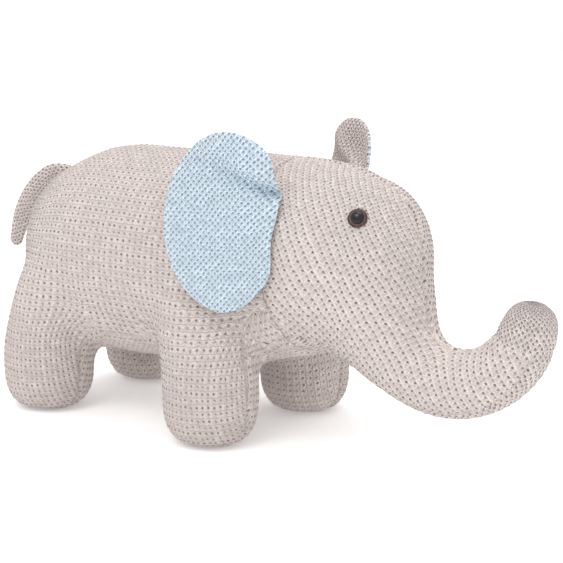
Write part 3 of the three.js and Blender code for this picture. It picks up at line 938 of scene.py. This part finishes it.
# The tail's root and its swing to one side. Its line from the root: x, z, half width.
TAIL = dict(x=-93.2, z=147.0, swing=25.0, axis=(0.62, 0, 0.785))
TAIL_LINE = [(0, 0, 5.2), (-10, 0, 6.3), (-24, -8, 6.9), (-36, -21, 6.7), (-45, -36, 6.0),
             (-51, -49, 4.6)]
TAIL_THICK = 2.3    # half of the tail's thickness
TAIL_CROWN = 0.22   # height of the knit's crowns


def tail_rows(count=90, root_dome=2.4, tip_dome=5.5):
    """Cross-sections along the tail: place, direction, half width, distance along it."""
    line = spline(TAIL_LINE, count)
    at, half = line[:, :2], line[:, 2]
    way = np.gradient(at, axis=0)
    way /= np.linalg.norm(way, axis=1)[:, None]
    far = np.concatenate([[0], np.cumsum(np.linalg.norm(np.diff(at, axis=0), axis=1))])
    caps = []
    for end, dome, steps in ((0, -root_dome, 6), (-1, tip_dome, 9)):
        cap = []
        for angle in np.linspace(0, math.pi / 2 * 0.96, steps)[1:]:
            reach = dome * math.sin(angle)
            cap.append((at[end] + way[end] * reach, way[end], half[end] * math.cos(angle),
                        far[end] + reach))
        caps.append(cap)
    return caps[0][::-1] + list(zip(at, way, half, far)) + caps[1]


def rotation(axis, angle):
    """The matrix that turns by this angle about an axis through the origin."""
    x, y, z = np.array(axis) / np.linalg.norm(axis)
    cross = np.array([[0, -z, y], [z, 0, -x], [-y, x, 0]])
    return np.eye(3) + math.sin(angle) * cross + (1 - math.cos(angle)) * cross @ cross


def make_tail(segments=48):
    """The flat leaf-shaped tail, swung to one side about its sewn edge."""
    turn = np.linspace(0, 2 * math.pi, segments, endpoint=False)
    rows = tail_rows()
    rings = np.zeros((len(rows), segments, 3))
    flat = np.zeros((len(rows), segments, 2))
    for i, (at, ahead, half, reach) in enumerate(rows):
        across = np.sign(np.cos(turn)) * np.abs(np.cos(turn)) ** 0.8 * half
        out = np.sin(turn) * TAIL_THICK * min(1.0, half / 4.0)
        knit = relief(np.full(segments, reach), across, SEED) * TAIL_CROWN
        out = out + np.sign(out) * knit * np.abs(np.sin(turn))
        rings[i, :, 0] = at[0] - ahead[1] * across
        rings[i, :, 1] = -out
        rings[i, :, 2] = at[1] + ahead[0] * across
        flat[i, :, 0] = reach
        flat[i, :, 1] = across
    rings = rings @ rotation(TAIL["axis"], math.radians(TAIL["swing"])).T
    rings = (rings + [TAIL["x"] + AHEAD, 0, TAIL["z"]]) * MM
    verts, faces = rings_to_mesh(rings)
    mesh = new_mesh("tail_cover", verts, faces)
    tail_length = 60
    wrap_stitches(mesh, flat.reshape(-1, 2), [(0, 0), (tail_length, 0)])
    mesh.materials.append(knit_small)
    return new_object("tail_cover", mesh)


tail = make_tail()
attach(tail, "tail")
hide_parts("tail")

# ---------------------------------------------------------------- eyes

# The left eye's seat, mirrored for the right one, and the way it faces.
EYE = np.array([161.0, 27.8, 140.9])
EYE_WAY = np.array([0.31, 0.82, 0.47])
# Radius and height over the seat, from the middle underneath to the middle on top.
RIM_PROFILE = [(0.3, -3), (2.2, -3), (2.3, 0.3), (5.0, 0.5), (5.7, 1.1), (5.3, 1.8), (4.5, 2.1),
               (3.7, 2.0), (0.3, 1.95)]
DOME_PROFILE = [(0.2, 2.0), (3.55, 2.02), (3.68, 2.4), (3.3, 3.1), (2.5, 3.7), (1.3, 4.1),
                (0.15, 4.25)]
brown = plastic_material("eye_brown_plastic", rgb(84, 52, 44), rgb(50, 30, 26), 0.3)
black = plastic_material("eye_black_plastic", rgb(16, 16, 20), rgb(9, 9, 12), 0.14)
washer = plastic_material("washer_plastic", rgb(232, 230, 224), rgb(222, 220, 214), 0.45)


def eye_piece(name, profile, side, material, steps=60, segments=64):
    """A round piece of the eye, turned from its profile."""
    sign = -1 if side == "right" else 1
    way = Vector((EYE_WAY[0], sign * EYE_WAY[1], EYE_WAY[2])).normalized()
    turn = Vector((0, 0, 1)).rotation_difference(way).to_matrix()
    line = spline(profile, steps)
    angles = np.linspace(0, 2 * math.pi, segments, endpoint=False)
    rings = np.array([[(r * math.cos(a), r * math.sin(a), z) for a in angles] for r, z in line])
    rings = rings @ np.array(turn).T + EYE * [1, sign, 1] + [AHEAD, 0, 0]
    verts, faces = rings_to_mesh(rings * MM)
    mesh = new_mesh(name, verts, faces)
    mesh.polygons.foreach_set("use_smooth", np.ones(len(mesh.polygons), bool))
    mesh.materials.append(material)
    return new_object(name + "_" + side, mesh)


for side in ("right", "left"):
    disc = eye_piece("eye_rim", RIM_PROFILE, side, brown)
    dome = eye_piece("eye_dome", DOME_PROFILE, side, black)
    for piece, node, slot in ((disc, "eye_disc_", "eye_brown"), (dome, "eye_pupil_", "eye_black")):
        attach(piece, "body")
        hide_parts(node + side)
    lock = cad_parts["eye_washer_" + side]
    lock.data.materials.clear()
    lock.data.materials.append(washer)

# ---------------------------------------------------------------- floor, light, camera


def paper_material():
    """White studio paper that glows a little, so that it stays white under the toy."""
    paper = Nodes("paper")
    where = paper.node("ShaderNodeTexCoord")
    speck = paper.ramp(paper.noise(where.outputs["Object"], 60.0, 2.0), 0.3, 0.7)
    diffuse = paper.node("ShaderNodeBsdfDiffuse")
    white = paper.mix(speck, (0.93, 0.93, 0.93, 1), (0.96, 0.96, 0.96, 1))
    paper.link(white, diffuse.inputs["Color"])
    glow = paper.node("ShaderNodeEmission")
    glow.inputs["Strength"].default_value = 0.22
    both = paper.node("ShaderNodeAddShader")
    paper.link(diffuse.outputs[0], both.inputs[0])
    paper.link(glow.outputs[0], both.inputs[1])
    out = paper.node("ShaderNodeOutputMaterial")
    paper.link(both.outputs[0], out.inputs[0])
    return paper.material


# Half the floor's side and its gap under the soles, in metres.
FLOOR_HALF, FLOOR_GAP = 6, 0.0004
corners = [(x * FLOOR_HALF, y * FLOOR_HALF, 0) for x, y in ((-1, -1), (1, -1), (1, 1), (-1, 1))]
floor = new_object("floor", new_mesh("floor", corners, [(0, 1, 2, 3)]))
floor.location.z = -FLOOR_GAP
floor.data.materials.append(paper_material())

world = bpy.data.worlds.new("studio")
bpy.context.scene.world = world
world.use_nodes = True
world.node_tree.nodes["Background"].inputs["Color"].default_value = (1, 1, 1, 1)
world.node_tree.nodes["Background"].inputs["Strength"].default_value = 1.0


def softbox(name, place, target, size, power):
    """A round area light that looks at the target; metres and watts."""
    light = bpy.data.lights.new(name, "AREA")
    light.shape = "DISK"
    light.size = size
    light.energy = power
    lamp = new_object(name, light)
    lamp.location = place
    lamp.rotation_euler = (Vector(target) - Vector(place)).to_track_quat("-Z", "Y").to_euler()


softbox("key", (0.1, -1.0, 1.45), (0, 0, 0.08), 0.9, 7.5)
softbox("top", (0.1, 0.3, 1.6), (0, 0, 0.1), 1.2, 6.5)

# The camera looks at AIM from this direction, in degrees, and distance, in metres.
AIM = (86.16, 92.37)
AZIMUTH, ELEVATION, DISTANCE = 37.25, 10.8, 0.9
LENS, SENSOR = 94.34, 36
target = Vector(((AIM[0] + AHEAD) * MM, 0, AIM[1] * MM))
az, el = math.radians(AZIMUTH), math.radians(ELEVATION)
back = Vector((math.sin(az) * math.cos(el), -math.cos(az) * math.cos(el), math.sin(el)))
lens = bpy.data.cameras.new("camera")
lens.lens = LENS
lens.sensor_width = SENSOR
lens.clip_start = 0.01
camera = new_object("camera", lens)
camera.location = target + back * DISTANCE
camera.rotation_euler = (-back).to_track_quat("-Z", "Y").to_euler()
bpy.context.scene.camera = camera
bpy.context.scene.view_settings.view_transform = "Standard"
